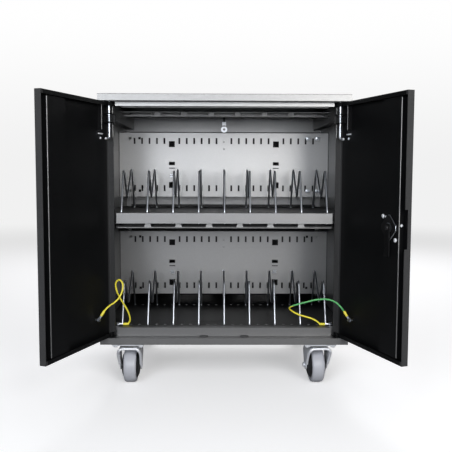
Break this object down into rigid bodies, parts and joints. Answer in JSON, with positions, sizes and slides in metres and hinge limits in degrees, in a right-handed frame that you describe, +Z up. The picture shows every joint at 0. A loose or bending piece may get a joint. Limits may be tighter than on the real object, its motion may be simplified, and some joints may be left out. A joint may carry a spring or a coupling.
{
  "type": "laptop charging cart",
  "caption": "Steel cabinet on swivel casters with two hinged doors, wire dividers on a shelf and a tray, and a cable compartment behind perforated partitions.",
  "frame": {"origin": "middle of the footprint of the cart as it stands with its doors open, on the floor", "axes": "+Z up, the doors open towards -Y, +X to the right as seen from the front"},
  "size_m": [0.772, 0.7414, 0.714],
  "materials": {
    "powder_coat": "fine textured powder coat",
    "door_coat": "satin powder coat",
    "zinc": "bright zinc plating",
    "black_plastic": "moulded, fine grain",
    "wheel_tread": "grey non-marking rubber on a dark hub",
    "cord_yellow": "PVC insulation, yellow with a green stripe",
    "cord_green": "PVC insulation, green and yellow"
  },
  "bodies": {
    "cabinet": {"top_panel": "powder_coat", "base_pan": "powder_coat", "left_side_panel": "powder_coat", "right_side_panel": "powder_coat", "rear_panel": "powder_coat", "top_frame": "powder_coat", "padlock_eye": "zinc", "floor_tray": "powder_coat", "upper_shelf": "powder_coat", "lower_partition": "powder_coat", "upper_partition": "powder_coat", "lower_power_strip": "black_plastic", "upper_power_strip": "black_plastic", "power_inlet": "black_plastic", "lower_divider_1": "zinc", "lower_divider_2": "zinc", "lower_divider_3": "zinc", "lower_divider_4": "zinc", "lower_divider_5": "zinc", "lower_divider_6": "zinc", "lower_divider_7": "zinc", "lower_divider_8": "zinc", "lower_divider_9": "zinc", "upper_divider_1": "zinc", "upper_divider_2": "zinc", "upper_divider_3": "zinc", "upper_divider_4": "zinc", "upper_divider_5": "zinc", "upper_divider_6": "zinc", "upper_divider_7": "zinc", "upper_divider_8": "zinc", "upper_divider_9": "zinc", "left_floor_lug": "zinc", "right_floor_lug": "zinc", "left_ground_cord": "cord_yellow", "right_ground_cord": "cord_green", "front_left_caster_plate": "zinc", "front_right_caster_plate": "zinc", "rear_left_caster_plate": "zinc", "rear_right_caster_plate": "zinc"},
    "left_door": {"left_door": "door_coat", "left_hinge_spring": "zinc", "left_door_lug": "zinc"},
    "right_door": {"right_door": "door_coat", "right_hinge_spring": "zinc", "right_door_lug": "zinc", "lock_housing": "zinc", "lock_plate": "door_coat"},
    "left_pin": {"left_hinge_pin": "zinc"},
    "right_pin": {"right_hinge_pin": "zinc"},
    "lock": {"lock_handle": "black_plastic", "lock_cam": "door_coat"},
    "front_left_swivel": {"front_left_caster_fork": "zinc"},
    "front_left_wheel": {"front_left_caster_wheel": "wheel_tread"},
    "front_right_swivel": {"front_right_caster_fork": "zinc"},
    "front_right_wheel": {"front_right_caster_wheel": "wheel_tread"},
    "rear_left_swivel": {"rear_left_caster_fork": "zinc"},
    "rear_left_wheel": {"rear_left_caster_wheel": "wheel_tread"},
    "rear_right_swivel": {"rear_right_caster_fork": "zinc"},
    "rear_right_wheel": {"rear_right_caster_wheel": "wheel_tread"}
  },
  "joints": [
    {"name": "left_door_hinge", "type": "hinge", "parent": "cabinet", "child": "left_door", "pos_m": [-0.27847, -0.11351, 0.413], "axis": [0, 0, 1], "range_deg": [-9.9, 110.1], "deforming": ["left_ground_cord"]},
    {"name": "right_door_hinge", "type": "hinge", "parent": "cabinet", "child": "right_door", "pos_m": [0.26953, -0.11351, 0.413], "axis": [0, 0, 1], "range_deg": [-109, 11], "deforming": ["right_ground_cord"]},
    {"name": "left_pin_slide", "type": "slide", "parent": "left_door", "child": "left_pin", "axis": [0, 0, -1], "range_m": [0, 0.008], "stiffness_N_per_m": 600, "springref_m": -0.006, "deforming": ["left_hinge_spring"]},
    {"name": "right_pin_slide", "type": "slide", "parent": "right_door", "child": "right_pin", "axis": [0, 0, -1], "range_m": [0, 0.008], "stiffness_N_per_m": 600, "springref_m": -0.006, "deforming": ["right_hinge_spring"]},
    {"name": "lock_turn", "type": "hinge", "parent": "right_door", "child": "lock", "pos_m": [0.33953, -0.3168, 0.4145], "axis": [-0.9455, -0.3256, 0], "range_deg": [0, 90]},
    {"name": "front_left_swivel", "type": "hinge", "parent": "cabinet", "child": "front_left_swivel", "pos_m": [-0.23947, -0.07551, 0.1], "axis": [0, 0, 1], "continuous": true},
    {"name": "front_left_roll", "type": "hinge", "parent": "front_left_swivel", "child": "front_left_wheel", "pos_m": [-0.23994, -0.04852, 0.04365], "axis": [0.9998, 0.0175, 0], "continuous": true},
    {"name": "front_right_swivel", "type": "hinge", "parent": "cabinet", "child": "front_right_swivel", "pos_m": [0.23053, -0.07551, 0.1], "axis": [0, 0, 1], "continuous": true},
    {"name": "front_right_roll", "type": "hinge", "parent": "front_right_swivel", "child": "front_right_wheel", "pos_m": [0.22865, -0.04858, 0.04365], "axis": [0.9976, 0.0698, 0], "continuous": true},
    {"name": "rear_left_swivel", "type": "hinge", "parent": "cabinet", "child": "rear_left_swivel", "pos_m": [-0.23947, 0.29949, 0.1], "axis": [0, 0, 1], "continuous": true},
    {"name": "rear_left_roll", "type": "hinge", "parent": "rear_left_swivel", "child": "rear_left_wheel", "pos_m": [-0.23665, 0.32634, 0.04365], "axis": [0.9945, -0.1045, 0], "continuous": true},
    {"name": "rear_right_swivel", "type": "hinge", "parent": "cabinet", "child": "rear_right_swivel", "pos_m": [0.23053, 0.29949, 0.1], "axis": [0, 0, 1], "continuous": true},
    {"name": "rear_right_roll", "type": "hinge", "parent": "rear_right_swivel", "child": "rear_right_wheel", "pos_m": [0.22677, 0.32622, 0.04365], "axis": [0.9903, 0.1392, 0], "continuous": true}
  ]
}
